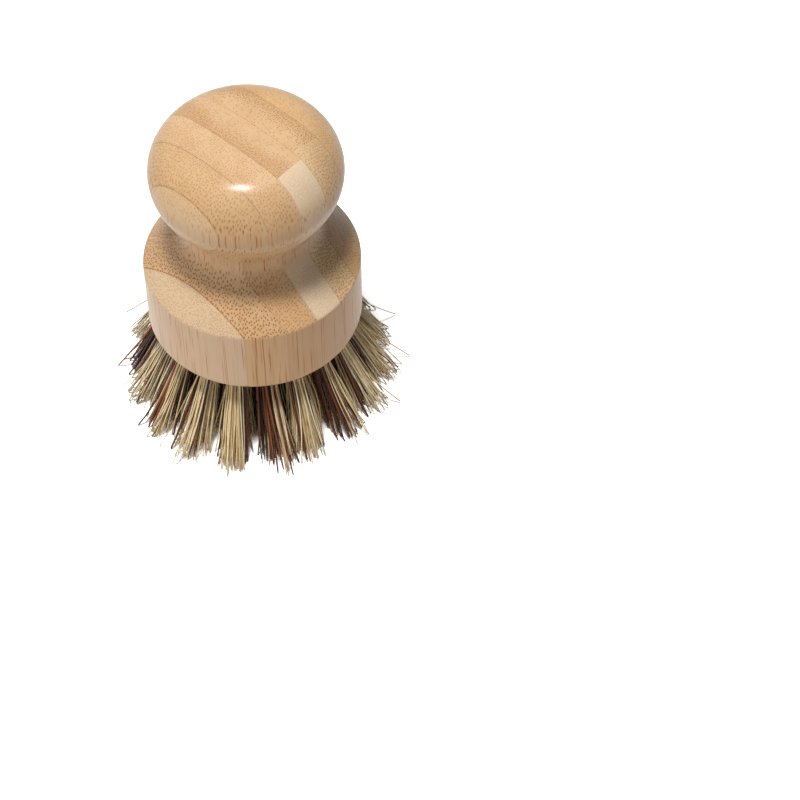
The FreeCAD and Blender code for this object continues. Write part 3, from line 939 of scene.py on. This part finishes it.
class BRUSH_OT_turned_handle(bpy.types.Operator):
    """Turn the handle and saw it into its bamboo strips"""

    bl_idname = "brush.turned_handle"
    bl_label = "Turned handle"

    def execute(self, context):
        sizes, colours = context.scene.dish_brush.handle, context.scene.dish_brush.colours
        outline = turned_outline(sizes)
        blank = turned_blank(outline, sizes.turns)
        finishes = {}
        for name in STRIPS:
            low, high = STRIP_BOXES[name]
            row = name.removeprefix("bamboo_").removesuffix("_block").removesuffix("_knob")
            if row not in finishes:
                look = dict(zip(LOOK_NAMES, STRIP_LOOKS[row]))
                finishes[row] = varnished_bamboo(f"bamboo_varnished_{row}", look, colours, low.y, high.y)
            data = strip_mesh(name, blank, outline, sizes.neck_height)
            data.materials.append(finishes[row])
            place_piece(f"{name}_turned", data, name)
        blank.free()
        return {"FINISHED"}


class BRUSH_OT_fibre_tufts(bpy.types.Operator):
    """Fill every hole with a fan of pale and dark plant fibres"""

    bl_idname = "brush.fibre_tufts"
    bl_label = "Fibre tufts"

    def execute(self, context):
        sizes, colours = context.scene.dish_brush.tufts, context.scene.dish_brush.colours
        pale_shades = (colours.pale_darkest, colours.pale_darker, colours.pale_lighter, colours.pale_lightest)
        dark_shades = (colours.dark_darkest, colours.dark_darker, colours.dark_lighter, colours.dark_lightest)
        pale = plant_fibre("tampico_fibre_cut", pale_shades, roughness=0.5)
        dark = plant_fibre("palm_fibre_cut", dark_shades, roughness=0.4)
        for ring, ring_name in enumerate(RINGS):
            nodes = [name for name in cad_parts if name.startswith(f"tuft_{ring_name}")]
            lean = ring * sizes.lean_step
            length = FOOT / math.cos(lean)
            mouth = Matrix.Translation((ring * sizes.ring_pitch, 0, FOOT))
            leaning = Matrix.Rotation(math.pi - lean, 4, "Y")
            outward = Matrix.Rotation(math.pi, 4, "Z")
            for number in range(len(nodes)):
                node = f"tuft_{ring_name}" if len(nodes) == 1 else f"tuft_{ring_name}_{number + 1}"
                around = Matrix.Rotation(2 * math.pi * number / len(nodes), 4, "Z")
                seat = around @ mouth @ leaning @ outward
                rng = random.Random(f"{sizes.seed} {node}")
                if ring_name == "outer":
                    share = DARK_SHARES.get(number + 1, OTHER_DARK_SHARE)
                else:
                    share = rng.uniform(*INNER_DARK_SHARES)
                data = tuft_mesh(f"{node}_fibres", rng, sizes, seat, length, lean, share)
                data.materials.append(pale)
                data.materials.append(dark)
                place_piece(f"{node}_fibres", data, node)
        return {"FINISHED"}


class BRUSH_OT_anchors(bpy.types.Operator):
    """Give the flat wires in the holes their steel"""

    bl_idname = "brush.anchors"
    bl_label = "Anchors"

    def execute(self, context):
        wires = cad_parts["tuft_anchors"]
        wires.data.materials.clear()
        wires.data.materials.append(drawn_wire(context.scene.dish_brush.colours.wire))
        return {"FINISHED"}


class BRUSH_OT_studio(bpy.types.Operator):
    """White paper, soft lamps and the camera"""

    bl_idname = "brush.studio"
    bl_label = "Studio"

    def execute(self, context):
        scene, studio = context.scene, context.scene.dish_brush.studio
        scene.view_settings.view_transform = "Standard"
        turn = Matrix.Rotation(studio.camera_turn[2], 3, "Z")
        paper_sheet(turn @ Vector(PAPER_FRONT).normalized())
        area_lamp("key", turn @ Vector(KEY_PLACE), LAMP_AIM, KEY_SIZE, studio.key_power)
        area_lamp("strip", turn @ Vector(LONG_LAMP_PLACE), LAMP_AIM, LONG_LAMP_SIZE, studio.strip_power)
        scene.world = white_room(studio, turn @ Vector(WALL_SIDE).normalized())
        scene.camera = studio_camera(studio)
        return {"FINISHED"}


OPERATORS = (BRUSH_OT_turned_handle, BRUSH_OT_fibre_tufts, BRUSH_OT_anchors, BRUSH_OT_studio)


class BRUSH_PT_sidebar(bpy.types.Panel):
    """The steps that make the brush"""

    bl_idname = "BRUSH_PT_sidebar"
    bl_label = "Dish brush"
    bl_space_type = "VIEW_3D"
    bl_region_type = "UI"
    bl_category = "Dish brush"

    def draw(self, context):
        for operator in OPERATORS:
            self.layout.operator(operator.bl_idname)


CLASSES = (HandleSizes, TuftSizes, FinishColours, StudioSettings, DishBrush, *OPERATORS, BRUSH_PT_sidebar)


def register():
    for item in CLASSES:
        bpy.utils.register_class(item)
    bpy.types.Scene.dish_brush = bpy.props.PointerProperty(type=DishBrush)


def unregister():
    del bpy.types.Scene.dish_brush
    for item in reversed(CLASSES):
        bpy.utils.unregister_class(item)


def main():
    register()
    bpy.ops.brush.turned_handle()
    bpy.ops.brush.fibre_tufts()
    bpy.ops.brush.anchors()
    bpy.ops.brush.studio()


if __name__ == "__main__":
    main()
